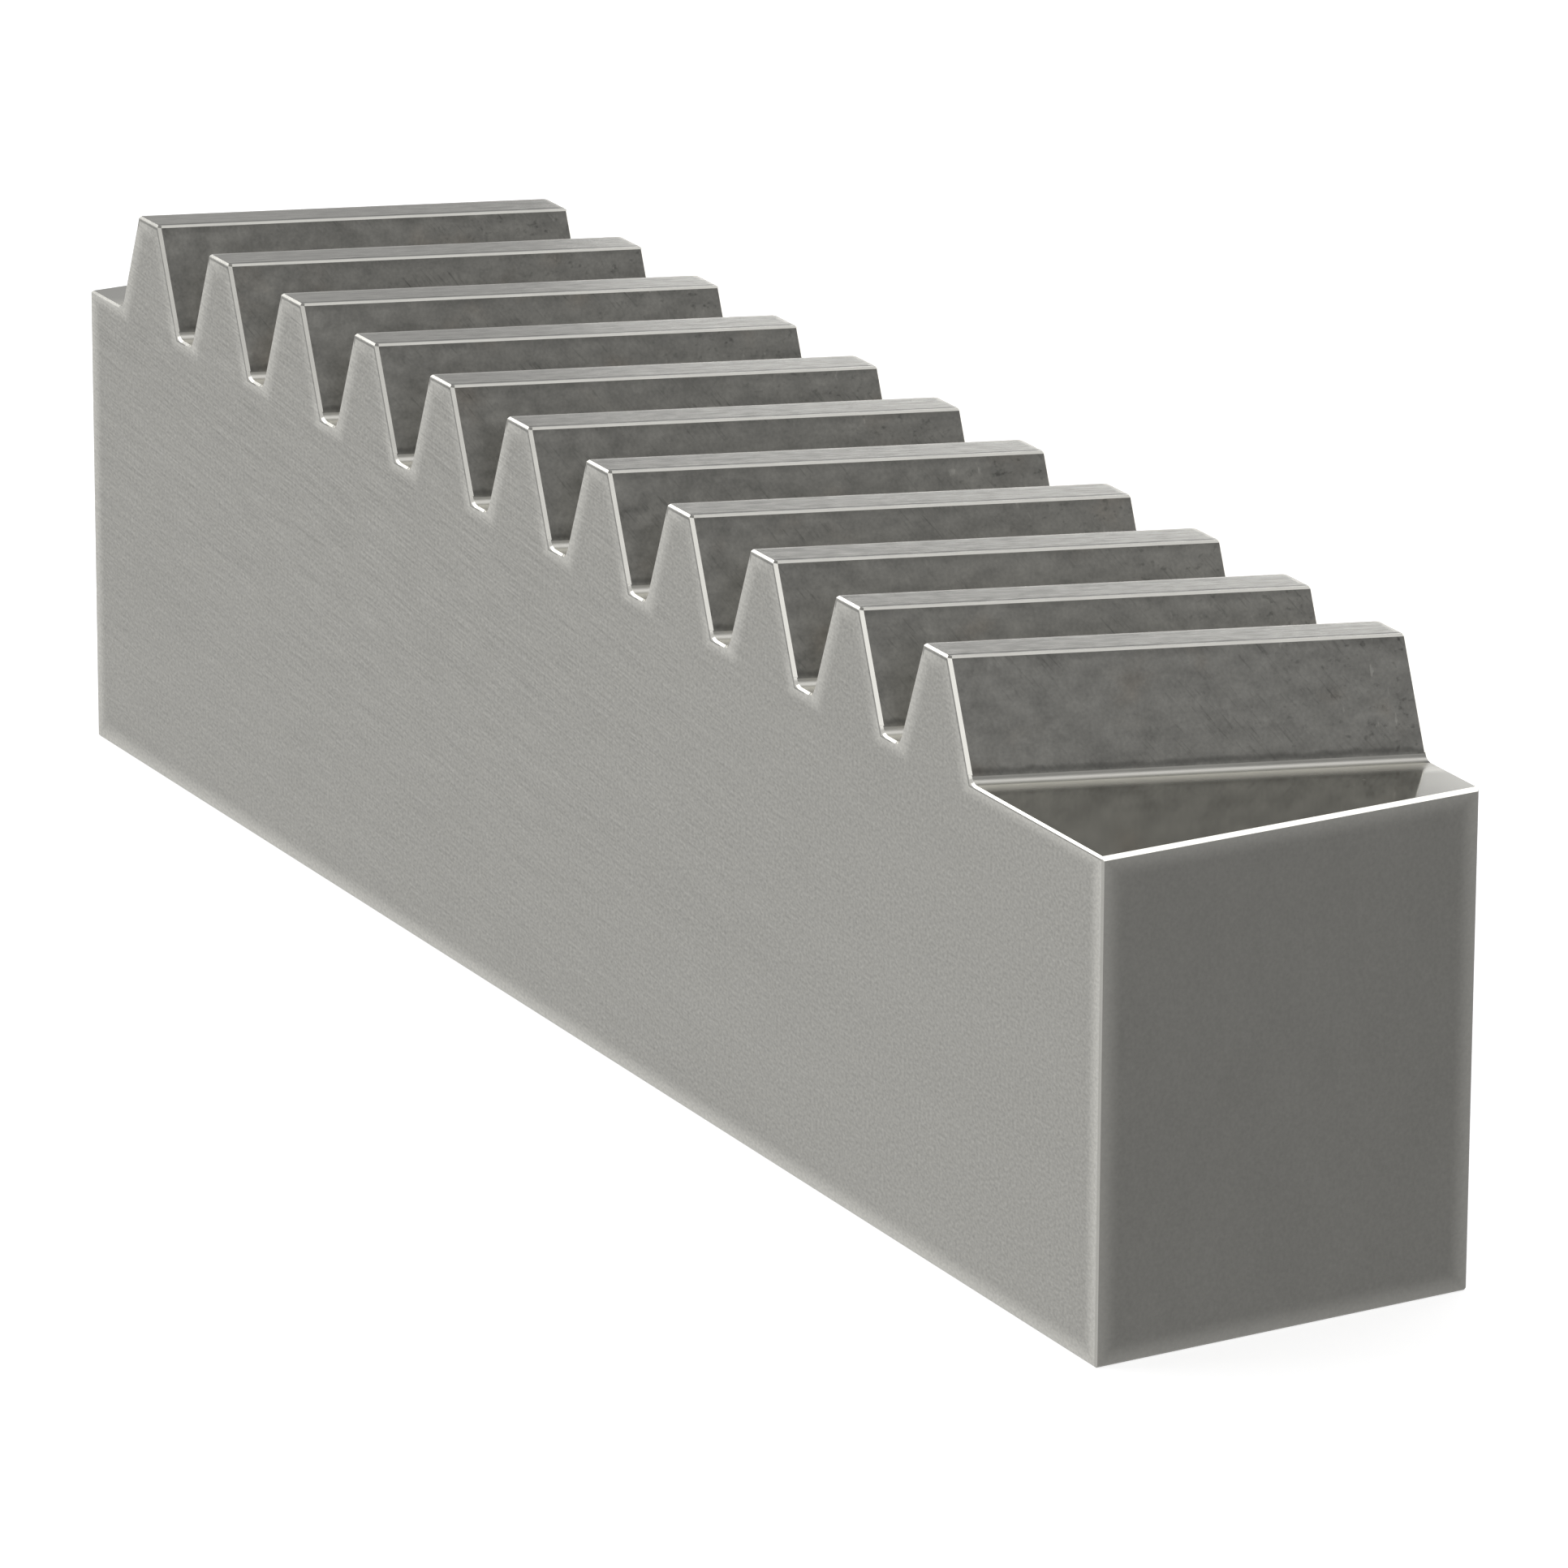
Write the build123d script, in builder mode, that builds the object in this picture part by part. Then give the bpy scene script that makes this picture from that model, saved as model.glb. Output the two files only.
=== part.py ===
"""Helical gear rack: a rectangular steel bar with slanted teeth cut across its top.

The origin is the centre of the bar's underside. X runs along the bar, Y across it, Z up to the
tooth tips. The teeth slant: their +Y ends lie further along +X than their -Y ends. The rack is
modelled as the bar, which keeps the floors and fillets of the tooth spaces, and one solid for
each tooth. They meet face to face at a flat seam just above the root fillets.
"""

from build123d import *
import os
from math import cos, pi, radians, tan

# Driving dimensions, in millimetres and degrees
NORMAL_MODULE = 6.0
NORMAL_PRESSURE_ANGLE = 20.0
HELIX_ANGLE = 20.0
TOOTH_COUNT = 11
BAR_LENGTH = 255.0
BAR_WIDTH = 50.0
RACK_HEIGHT = 75.0  # underside to tooth tips
TOOTH_DEPTH = 13.7
TIP_WIDTH = 5.8  # measured along the bar
FIRST_TOOTH = 26.4  # from the -X end to the middle of tooth 1
ROOT_RADIUS = 1.2
EDGE_BREAK = 0.25  # small chamfer on the bar's edges and round the tooth tips
FLANK_BREAK = 0.35  # chamfer on the ends of the tooth flanks
LAND_BREAK = 0.45  # larger chamfer where a flat land meets the end of the bar
SEAM_RISE = 0.9  # from the floor of the tooth spaces up to the seam

# Sizes that follow from them
PITCH = pi * NORMAL_MODULE / cos(radians(HELIX_ANGLE))
SLANT = tan(radians(HELIX_ANGLE))  # shift along X for each millimetre along Y
FLANK_SLOPE = tan(radians(NORMAL_PRESSURE_ANGLE)) / cos(radians(HELIX_ANGLE))
FLOOR_HEIGHT = RACK_HEIGHT - TOOTH_DEPTH
SEAM_HEIGHT = FLOOR_HEIGHT + SEAM_RISE

# The teeth run parallel to this line, and their profiles are drawn on the bar's -Y side
TOOTH_DIRECTION = (SLANT, 1, 0)
TOOTH_LENGTH = BAR_WIDTH * (1 + SLANT**2) ** 0.5
SIDE_PLANE = Plane(origin=(-BAR_WIDTH * SLANT / 2, -BAR_WIDTH / 2, 0), x_dir=(1, 0, 0), z_dir=(0, -1, 0))


def half_width(height):
    """Half the width of a tooth along the bar, at a height above the underside."""
    return TIP_WIDTH / 2 + (RACK_HEIGHT - height) * FLANK_SLOPE


def tooth_centre(number):
    """X of a tooth's centre line at the middle of the bar's width, for tooth 1 to TOOTH_COUNT."""
    return FIRST_TOOTH - BAR_LENGTH / 2 + (number - 1) * PITCH


def side_profile(number, bottom, top):
    """The sketch outline of one tooth's flanks between two heights, on the bar's -Y side."""
    middle = tooth_centre(number)
    Polyline(
        (middle - half_width(bottom), bottom),
        (middle - half_width(top), top),
        (middle + half_width(top), top),
        (middle + half_width(bottom), bottom),
        close=True,
    )


os.makedirs("parts", exist_ok=True)

# The bar, with a low ridge under each tooth that carries the root fillets
with BuildPart() as rack_bar:
    Box(BAR_LENGTH, BAR_WIDTH, FLOOR_HEIGHT, align=(Align.CENTER, Align.CENTER, Align.MIN))
    for number in range(1, TOOTH_COUNT + 1):
        with BuildSketch(SIDE_PLANE):
            with BuildLine():
                side_profile(number, FLOOR_HEIGHT, SEAM_HEIGHT)
            make_face()
        extrude(amount=TOOTH_LENGTH, dir=TOOTH_DIRECTION)

    slanted_edges = rack_bar.edges().filter_by(lambda edge: abs(edge.length - TOOTH_LENGTH) < 0.01)
    fillet(slanted_edges.group_by(Axis.Z)[0], ROOT_RADIUS)

    end_faces = rack_bar.faces().filter_by(Axis.X)
    side_faces = rack_bar.faces().filter_by(Axis.Y)
    seam_edges = rack_bar.faces().filter_by(Axis.Z).group_by(Axis.Z)[-1].edges()
    land_ends = end_faces.edges().group_by(Axis.Z)[-1]
    chamfer((end_faces + side_faces).edges() - seam_edges - land_ends, EDGE_BREAK)

    land_ends = rack_bar.faces().filter_by(Axis.X).edges().group_by(Axis.Z)[-1]
    chamfer(land_ends, LAND_BREAK)

rack_bar.part.label = "rack_bar"
export_step(rack_bar.part, "parts/rack_bar.step")

# The teeth, numbered from the -X end
for number in range(1, TOOTH_COUNT + 1):
    with BuildPart() as tooth:
        with BuildSketch(SIDE_PLANE):
            with BuildLine():
                side_profile(number, SEAM_HEIGHT, RACK_HEIGHT)
            make_face()
        extrude(amount=TOOTH_LENGTH, dir=TOOTH_DIRECTION)
        seam_edges = tooth.edges().group_by(Axis.Z)[0]
        tip_edges = tooth.edges().group_by(Axis.Z)[-1]
        chamfer(tooth.edges() - seam_edges - tip_edges, FLANK_BREAK)

        tip_edges = tooth.edges().group_by(Axis.Z)[-1]
        chamfer(tip_edges, EDGE_BREAK)

    tooth.part.label = f"tooth_{number:02d}"
    export_step(tooth.part, f"parts/{tooth.part.label}.step")
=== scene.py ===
"""Looks for the helical gear rack: machined steel, a pale floor, soft studio light and the camera."""

import math

import bpy
from mathutils import Matrix, Vector


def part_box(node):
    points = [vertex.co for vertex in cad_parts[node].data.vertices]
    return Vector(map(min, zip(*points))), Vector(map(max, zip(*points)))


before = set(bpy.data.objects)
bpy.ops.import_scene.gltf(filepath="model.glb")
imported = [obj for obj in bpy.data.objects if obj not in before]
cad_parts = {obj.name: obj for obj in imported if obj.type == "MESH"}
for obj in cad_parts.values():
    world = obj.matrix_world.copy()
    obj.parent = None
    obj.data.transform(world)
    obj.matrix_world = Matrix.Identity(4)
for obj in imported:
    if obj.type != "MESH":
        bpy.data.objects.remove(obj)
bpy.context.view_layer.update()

# The rack's sizes, in millimetres, read from model.glb's parts where it has them
MM = 0.001
BAR_LOW, BAR_HIGH = [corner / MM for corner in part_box("rack_bar")]
FIRST_LOW, FIRST_HIGH = [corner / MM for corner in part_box("tooth_01")]
SECOND_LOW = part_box("tooth_02")[0] / MM
TEETH = len(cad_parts) - 1
PITCH = SECOND_LOW.x - FIRST_LOW.x
FIRST_TOOTH = (FIRST_LOW.x + FIRST_HIGH.x) / 2
RACK_TOP = FIRST_HIGH.z
SEAM_HEIGHT = FIRST_LOW.z
SEAM_RISE = 0.9  # from the floor of the tooth spaces up to the seam between bar and teeth
FLOOR_HEIGHT = SEAM_HEIGHT - SEAM_RISE
HALF_LENGTH = BAR_HIGH.x
HALF_WIDTH = BAR_HIGH.y
TIP_WIDTH = 5.8  # measured along the bar
HELIX_ANGLE = math.radians(20)
PRESSURE_ANGLE = math.radians(20)
SLANT = math.tan(HELIX_ANGLE)
FLANK_SLOPE = math.tan(PRESSURE_ANGLE) / math.cos(HELIX_ANGLE)

# Marks in the finish, in millimetres
GRIND_TILT = 0.12  # how far the grinding lines drop for each millimetre along the bar
SCRATCH_DIRECTION = (0.64, -0.77)  # of the scratches on a flank: along the tooth, and up
HIGHLIGHT_RIM_WIDTH = 3.0  # of the painted highlight, a pale rim round a long side or an end
EDGE_SHADE_DEPTH = 0.5  # from a tooth's outline to the middle of the line of painted shade that follows it
EDGE_SHADE_REACH = 0.26  # from the middle of that line to where it ends
TIP_LINE_DEPTH = 0.7  # from a tip's front edge to the middle of the dark line behind it
FOOT_WIDTH = 5.0  # of the dull strip of a land beside a tooth

# A face points along an axis if that part of its normal is more than this
FLAT = 0.97

# Linear colours
STEEL = (0.580, 0.571, 0.534, 1)
STAINED_STEEL = (0.600, 0.560, 0.500, 1)
BRIGHTEST = 1.65  # the most that a finish may brighten them, which keeps every colour below 1

# The camera, a long lens looking down on the -Y side and the +X end
CAMERA_AZIMUTH = 60.345  # degrees from looking along +Y, turned towards -X
CAMERA_ELEVATION = 18.975
CAMERA_ROLL = 0.25
CAMERA_DISTANCE = 1.359
CAMERA_LENS = 254.4
CAMERA_AIM = Vector((4.95, 3.89, 28.3)) * MM


class Value:
    """A number that varies over a surface. Arithmetic on it adds Math nodes to its node tree."""

    def __init__(self, tree, socket):
        self.tree = tree
        self.socket = socket

    def feed(self, socket, value):
        """Links a Value to an input, or sets the input to a plain number."""
        if isinstance(value, Value):
            self.tree.links.new(value.socket, socket)
        else:
            socket.default_value = value

    def math(self, operation, *others):
        node = self.tree.nodes.new("ShaderNodeMath")
        node.operation = operation
        for socket, value in zip(node.inputs, (self, *others)):
            self.feed(socket, value)
        return Value(self.tree, node.outputs[0])

    def __add__(self, other):
        return self.math("ADD", other)

    def __sub__(self, other):
        return self.math("SUBTRACT", other)

    def __mul__(self, other):
        return self.math("MULTIPLY", other)

    def __abs__(self):
        return self.math("ABSOLUTE")

    def __neg__(self):
        return self * -1

    __radd__ = __add__
    __rmul__ = __mul__

    def __rsub__(self, other):
        return -self + other

    def least(self, other):
        return self.math("MINIMUM", other)

    def most(self, other):
        return self.math("MAXIMUM", other)

    def above(self, limit):
        """1 where the value is above a limit, 0 elsewhere."""
        return self.math("GREATER_THAN", limit)

    def near(self, target, reach):
        """1 within reach of a target, 0 elsewhere."""
        return self.math("COMPARE", target, reach)

    def ramp(self, start, end):
        """0 at start and 1 at end, smooth between them."""
        node = self.tree.nodes.new("ShaderNodeMapRange")
        node.interpolation_type = "SMOOTHSTEP"
        for name, value in (("Value", self), ("From Min", start), ("From Max", end)):
            self.feed(node.inputs[name], value)
        return Value(self.tree, node.outputs["Result"])

    def blend(self, low, high):
        """low where this value is 0, high where it is 1."""
        node = self.tree.nodes.new("ShaderNodeMix")
        for socket, value in zip(node.inputs[0:1] + node.inputs[2:4], (self, low, high)):
            self.feed(socket, value)
        return Value(self.tree, node.outputs[0])


def split(tree, vector):
    """The three parts of a vector output."""
    node = tree.nodes.new("ShaderNodeSeparateXYZ")
    tree.links.new(vector, node.inputs[0])
    return [Value(tree, output) for output in node.outputs]


def noise(x, y, z, detail=2.0):
    """Smooth noise about 0, from -0.5 to 0.5, with a feature size of 1 in the values given.

    So a coordinate times 0.1 makes features 10 mm long, and times 4 makes them a quarter of one.
    """
    tree = x.tree
    point = tree.nodes.new("ShaderNodeCombineXYZ")
    for socket, value in zip(point.inputs, (x, y, z)):
        x.feed(socket, value)
    node = tree.nodes.new("ShaderNodeTexNoise")
    tree.links.new(point.outputs[0], node.inputs["Vector"])
    node.inputs["Scale"].default_value = 1
    node.inputs["Detail"].default_value = detail
    return Value(tree, node.outputs[0]) - 0.5


def new_material(name):
    """A material with only a Principled shader, and its node tree."""
    material = bpy.data.materials.new(name)
    material.use_nodes = True
    tree = material.node_tree
    return material, tree, tree.nodes["Principled BSDF"]


class Surface:
    """Where a point is on the rack, in millimetres, and which way its face points."""

    def __init__(self, tree):
        coordinates = tree.nodes.new("ShaderNodeTexCoord")
        position = split(tree, coordinates.outputs["Object"])
        self.x, self.y, self.z = [part * (1 / MM) for part in position]
        normal_x, normal_y, normal_z = split(tree, coordinates.outputs["Normal"])

        # Along a tooth, and across the teeth
        cosine, sine = math.cos(HELIX_ANGLE), math.sin(HELIX_ANGLE)
        self.along = self.x * sine + self.y * cosine
        self.across = self.x * cosine - self.y * sine
        normal_across = normal_x * cosine - normal_y * sine

        # 1 on each kind of face, and 0 on the chamfers
        self.on_side = abs(normal_y).above(FLAT)
        self.on_end = abs(normal_x).above(FLAT)
        self.on_underside = (-normal_z).above(FLAT)
        faces_up = normal_z.above(FLAT)
        self.on_tip = faces_up * self.z.above(SEAM_HEIGHT)
        self.on_flank = normal_z.near(math.sin(PRESSURE_ANGLE), 0.03) * abs(normal_across).above(0.85)

        # Distance along the bar from the nearest tooth's centre line, positive on its +X side
        pitches = (self.x - self.y * SLANT - FIRST_TOOTH) * (1 / PITCH)
        between_teeth = pitches.near((TEETH - 1) / 2, (TEETH - 1) / 2)
        nearest = pitches.math("ROUND").most(0).least(TEETH - 1)
        self.beside_tooth = (pitches - nearest) * PITCH
        self.from_tooth = abs(self.beside_tooth)
        self.half_tooth = TIP_WIDTH / 2 + (RACK_TOP - self.z) * FLANK_SLOPE

        # The fillets, which curve from a flank's tilt to level, with the narrow floors that join them
        normal_along = normal_x * sine + normal_y * cosine
        fillet = normal_z.near(0.685, 0.31) * normal_along.near(0, 0.05)
        at_root = self.z.near(FLOOR_HEIGHT, SEAM_RISE + 0.05)
        self.on_root = fillet.most(faces_up * between_teeth) * at_root

        # The flat lands, beyond the first and last teeth
        self.beyond_teeth = 1 - between_teeth
        self.on_land = (faces_up - self.on_tip) * self.beyond_teeth

    def tooth_margin(self):
        """Distance, on a long side, below the line of teeth, spaces and lands."""
        in_tooth = (self.half_tooth - self.from_tooth) * math.cos(math.atan(FLANK_SLOPE))
        return in_tooth.least(RACK_TOP - self.z).most((FLOOR_HEIGHT - self.z) * 1.5)

    def side_margin(self):
        """Distance from the outline of a long side, teeth and all."""
        return self.tooth_margin().least(self.z).least(HALF_LENGTH - abs(self.x))

    def end_margin(self):
        """Distance from the outline of an end."""
        return (FLOOR_HEIGHT - self.z).least(self.z).least(HALF_WIDTH - abs(self.y))


def side_marks_and_painted_light(at):
    """Ground lengthwise. The fine broken lines are clearest high up at the -X end.

    A painted highlight, a pale rim, follows the outline, and a thin dark line of painted shade follows all
    of its top but the -X flanks.
    """
    line_along = at.x - at.z * GRIND_TILT
    line_across = at.z + at.x * GRIND_TILT
    lines = noise(line_along * 0.12, at.y, line_across * 4.5, 3)
    threads = noise(line_along * 0.05, at.y, line_across * 2.2)
    grain = noise(at.x * 2, at.y, at.z * 2.6, 3)
    bands = noise(at.x * 0.02, at.y, at.z * 0.1)
    upper = at.z.ramp(0, FLOOR_HEIGHT) * 0.5 + 0.4
    clear = at.x.ramp(HALF_LENGTH, -HALF_LENGTH / 4) * upper + 0.15
    before_flank = at.beside_tooth.ramp(-1.5, 1.5) * at.z.ramp(FLOOR_HEIGHT + 1, FLOOR_HEIGHT + 4)
    # Painted highlight: a pale rim along the outline, standing in for light caught near the edges
    highlight_rim = at.side_margin().ramp(HIGHLIGHT_RIM_WIDTH, 0.2) * (1 - before_flank * 0.5)
    # Painted shade: a thin dark line just inside the top outline, beside the chamfers
    edge_shade_line = abs(at.tooth_margin() - EDGE_SHADE_DEPTH).ramp(EDGE_SHADE_REACH, 0)
    edge_shade_line = edge_shade_line * at.beside_tooth.above(-TIP_WIDTH / 2)
    tone = 0.94 + (lines * 0.62 + threads * 0.25) * clear + grain * 0.78 + bands * 0.08
    tone = (tone + highlight_rim * 0.44) * (1 - edge_shade_line * 0.5)
    return tone, 0.33 + lines * 0.1, lines * clear + grain * 0.3


def end_marks_and_painted_light(at):
    """Milled smooth, with faint cloudiness and a painted highlight, a pale rim round the outline."""
    cloud = noise(at.x, at.y * 0.15, at.z * 0.1)
    grain = noise(at.x, at.y * 2.5, at.z * 2.5, 3)
    # Painted highlight: a pale rim round the end's outline
    highlight_rim = at.end_margin().ramp(HIGHLIGHT_RIM_WIDTH, 0)
    tone = 1 + cloud * 0.1 + grain * 0.3 + highlight_rim * 0.5
    return tone, 0.36 + cloud * 0.1, grain


def underside_finish(at):
    """Ground lengthwise, as the long sides are, and a little scuffed."""
    lines = noise(at.x * 0.03, at.y * 1.3, at.z, 3)
    scuffs = noise(at.x * 0.05, at.y * 0.08, at.z)
    return 0.95 + lines * 0.3 + scuffs * 0.2, 0.35 + scuffs * 0.15, lines


def flank_marks_and_painted_light(at):
    """Cut and rubbed: mottled and scratched, with nicks and specks towards the +Y side.

    Painted shade darkens the root and a band under the tip, and painted light brightens the flanks towards
    the +X end.
    """
    mottle = noise(at.along * 0.3, at.across, at.z * 0.4, 5)
    run, rise = SCRATCH_DIRECTION
    scratch_along = at.along * run + at.z * rise
    scratch_across = at.z * run - at.along * rise
    scratches = noise(scratch_along * 0.12, at.across, scratch_across * 4, 4).ramp(0.02, 0.3)
    patches = noise(at.along * 0.08, at.across * 0.7, at.z * 0.15).ramp(-0.1, 0.15)
    handled = at.y.ramp(2, 20) * 0.8 + 0.2
    nicks = noise(at.along * 1.2 + at.z * 0.15, at.across, at.z * 0.25, 3).ramp(0.16, 0.28)
    specks = noise(at.along * 1.1, at.across, at.z * 1.3 + 9, 4).ramp(0.08, 0.22)
    wobble = noise(at.along * 0.5, at.across, 0, 4)
    # Painted shade: a wobbly dark line in the crease above the root fillet, darkening towards the root, and
    # a dark band under the tip
    root_crease_shade = abs(at.z - SEAM_HEIGHT - 0.35 - wobble * 0.8).ramp(0.55, 0.05) * (wobble + 1)
    root_shade = at.z.ramp(SEAM_HEIGHT + 3.5, SEAM_HEIGHT)
    tip_shade = at.z.ramp(RACK_TOP - 1.3, RACK_TOP - 0.4)
    grain = noise(at.along * 2.5, at.across, at.z * 2.5, 3)
    streaks = noise(at.along * 0.5, at.across, at.z * 0.04) * at.y.ramp(-5, -18)
    # Painted light: brighter towards the +X end, where a flank mirrors less of the next tooth's dark back
    painted_light_ramp = at.x.ramp(-20, HALF_LENGTH - 20)
    tone = 0.9 + painted_light_ramp * 0.11 + mottle * 0.7 + grain * 0.45 + streaks * 0.4
    tone = tone - scratches * patches * 0.35 + (nicks * 0.4 - specks * 0.3) * handled
    tone = tone * (1 - root_crease_shade * 0.3) * (1 - root_shade * 0.1) * (1 - tip_shade * 0.12)
    return tone, 0.4 + mottle * 0.25, mottle - scratches * 0.5


def tip_marks_and_painted_light(at):
    """Streaked along each tooth, with paler borders of painted highlight, a dark line behind the +X edge
    and a +Y burr.
    """
    streaks = noise(at.along * 0.15, at.across * 4, at.z, 3)
    mottle = noise(at.along * 0.4, at.across * 0.8, at.z, 5)
    # Painted highlight: paler borders along the tip's edges
    highlight_border = (TIP_WIDTH / 2 - at.from_tooth).ramp(0.9, 0.3)
    line = abs(TIP_WIDTH / 2 - at.beside_tooth - TIP_LINE_DEPTH).ramp(0.3, 0.05)
    burr = (HALF_WIDTH - at.y + mottle * 1.5).ramp(0.9, 0.3)
    tone = 1 + streaks * 0.6 + mottle * 0.5 + highlight_border * 0.4 - line * 0.65 + burr * 0.6
    return tone, 0.2 + mottle * 0.15, streaks + mottle


def land_finish(at):
    """Polished, with a few tiny scratches, and dull beside a tooth's foot."""
    haze = noise(at.x * 0.15, at.y * 0.15, at.z)
    scratches = noise(at.x * 0.5 + at.y * 0.2, at.z, at.y * 3 - at.x, 2).ramp(0.27, 0.35)
    foot = (at.from_tooth - at.half_tooth).ramp(FOOT_WIDTH, 0.5)
    tone = 1.08 + haze * 0.15 + scratches * 0.5 + foot * 0.6
    return tone, 0.1 + scratches * 0.3 + foot * 0.4, scratches


def root_wear_and_painted_light(at):
    """A painted highlight: a bright band along the roots, with painted shade where a fillet runs into a
    land.
    """
    wear = noise(at.along * 0.3, at.across * 0.5, at.z)
    # Painted shade at the foot of a fillet beside a land. The tone below raises the roots as a painted
    # highlight.
    land_crease_shade = at.z.ramp(FLOOR_HEIGHT + 0.35, FLOOR_HEIGHT) * at.beyond_teeth
    return 1.65 + wear * 0.2 - land_crease_shade * 0.6, 0.36 + wear * 0.1, wear * 0.2


def edge_wear_and_painted_highlight(at):
    """Chamfers, rubbed bright by handling, and painted brighter still as highlight lines."""
    wear = noise(at.x * 0.4, at.y * 0.4, at.z * 0.4, 4)
    # The raised tone is partly wear and partly painted highlight
    return 1.35 + wear * 0.25, 0.18 + wear * 0.1, wear * 0.2


def rack_steel(name):
    """Machined steel, with a finish of its own on each kind of face, and painted highlights and shade on
    most of them.
    """
    material, tree, shader = new_material(name)
    at = Surface(tree)
    tone, roughness, relief = edge_wear_and_painted_highlight(at)
    for face, surface_and_light in (
        (at.on_side, side_marks_and_painted_light),
        (at.on_end, end_marks_and_painted_light),
        (at.on_underside, underside_finish),
        (at.on_flank, flank_marks_and_painted_light),
        (at.on_tip, tip_marks_and_painted_light),
        (at.on_land, land_finish),
        (at.on_root, root_wear_and_painted_light),
    ):
        face_tone, face_roughness, face_relief = surface_and_light(at)
        tone = face.blend(tone, face_tone)
        roughness = face.blend(roughness, face_roughness)
        relief = face.blend(relief, face_relief)

    # Faint brown stains on the flanks. Sockets 6 and 7 in, and 2 out, are a Mix node's colours.
    stain = noise(at.x * 0.1, at.y * 0.1, at.z * 0.1, 3).ramp(0.05, 0.25)
    colour = tree.nodes.new("ShaderNodeMix")
    colour.data_type = "RGBA"
    stain.feed(colour.inputs["Factor"], stain * at.on_flank)
    colour.inputs[6].default_value = STEEL
    colour.inputs[7].default_value = STAINED_STEEL
    shade = tree.nodes.new("ShaderNodeVectorMath")
    shade.operation = "SCALE"
    tree.links.new(colour.outputs[2], shade.inputs[0])
    tone.feed(shade.inputs["Scale"], tone.least(BRIGHTEST))
    tree.links.new(shade.outputs[0], shader.inputs["Base Color"])

    bump = tree.nodes.new("ShaderNodeBump")
    bump.inputs["Strength"].default_value = 0.3
    bump.inputs["Distance"].default_value = 0.02 * MM
    relief.feed(bump.inputs["Height"], relief)
    tree.links.new(bump.outputs[0], shader.inputs["Normal"])

    roughness.feed(shader.inputs["Roughness"], roughness)
    shader.inputs["Metallic"].default_value = 1
    return material


def add_floor():
    """A plain pale floor that glows a little, as a light table does. The steel doesn't mirror it."""
    bpy.ops.mesh.primitive_plane_add(size=20, location=(0, 0, BAR_LOW.z * MM))
    floor = bpy.context.object
    floor.name = "floor"
    floor.visible_glossy = False
    material, tree, shader = new_material("floor")
    shader.inputs["Base Color"].default_value = (0.9, 0.9, 0.9, 1)
    shader.inputs["Roughness"].default_value = 0.9
    shader.inputs["Emission Color"].default_value = (1, 1, 1, 1)
    shader.inputs["Emission Strength"].default_value = 0.65
    floor.data.materials.append(material)


def add_sky():
    """Light from all round, brightest from the -X, -Y quarter, and darker overhead."""
    world = bpy.data.worlds.new("studio")
    bpy.context.scene.world = world
    world.use_nodes = True
    tree = world.node_tree
    coordinates = tree.nodes.new("ShaderNodeTexCoord")
    towards = tree.nodes.new("ShaderNodeVectorMath")
    towards.operation = "DOT_PRODUCT"
    tree.links.new(coordinates.outputs["Generated"], towards.inputs[0])
    towards.inputs[1].default_value = (-0.6, -0.8, 0)
    front = Value(tree, towards.outputs["Value"]).ramp(-0.5, 0.8)
    overhead = split(tree, coordinates.outputs["Generated"])[2].ramp(0.4, 0.8)
    strength = (0.25 + front * 0.38) * (1 - overhead * 0.55)
    strength.feed(tree.nodes["Background"].inputs["Strength"], strength)
    tree.nodes["Background"].inputs["Color"].default_value = (1, 1, 1, 1)


def softbox(name, place, width, height, brightness, away=None):
    """A rectangular light, placed and sized in metres. It faces the origin, or the way opposite to away."""
    light = bpy.data.lights.new(name, "AREA")
    light.shape = "RECTANGLE"
    light.size = width
    light.size_y = height
    light.energy = brightness * math.pi * width * height
    lamp = bpy.data.objects.new(name, light)
    bpy.context.scene.collection.objects.link(lamp)
    lamp.location = place
    lamp.rotation_euler = Vector(away or place).to_track_quat("Z", "Y").to_euler()


def add_camera():
    """The camera at the named azimuth, elevation, roll and distance."""
    data = bpy.data.cameras.new("camera")
    data.lens = CAMERA_LENS
    data.sensor_width = 36
    data.clip_end = 50
    camera = bpy.data.objects.new("camera", data)
    bpy.context.scene.collection.objects.link(camera)
    turn = (
        Matrix.Rotation(math.radians(CAMERA_AZIMUTH), 4, "Z")
        @ Matrix.Rotation(math.radians(90 - CAMERA_ELEVATION), 4, "X")
        @ Matrix.Rotation(math.radians(CAMERA_ROLL), 4, "Z")
    )
    away = Matrix.Translation((0, 0, CAMERA_DISTANCE))
    camera.matrix_world = Matrix.Translation(CAMERA_AIM) @ turn @ away
    bpy.context.scene.camera = camera


finishes = {}
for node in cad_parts.values():
    for slot in node.material_slots:
        name = slot.material.name
        if name not in finishes:
            finishes[name] = rack_steel(name)
        slot.material = finishes[name]

add_floor()
add_sky()
softbox("top", (0.18, 0.12, 1.47), 1.2, 0.9, 0.6)
softbox("high_back", (0.57, 0.78, 1.17), 0.5, 0.5, 1.6)
softbox("left", (-0.8, -0.87, 0.84), 1.3, 0.6, 1.8)
softbox("front", (0.5, -1.41, 0.15), 0.6, 0.6, 0.5)
softbox("low_back", (-0.195, 0.3, 0.115), 0.79, 0.23, 1.25, away=(0, 1, 0))
add_camera()
bpy.context.scene.view_settings.view_transform = "Standard"
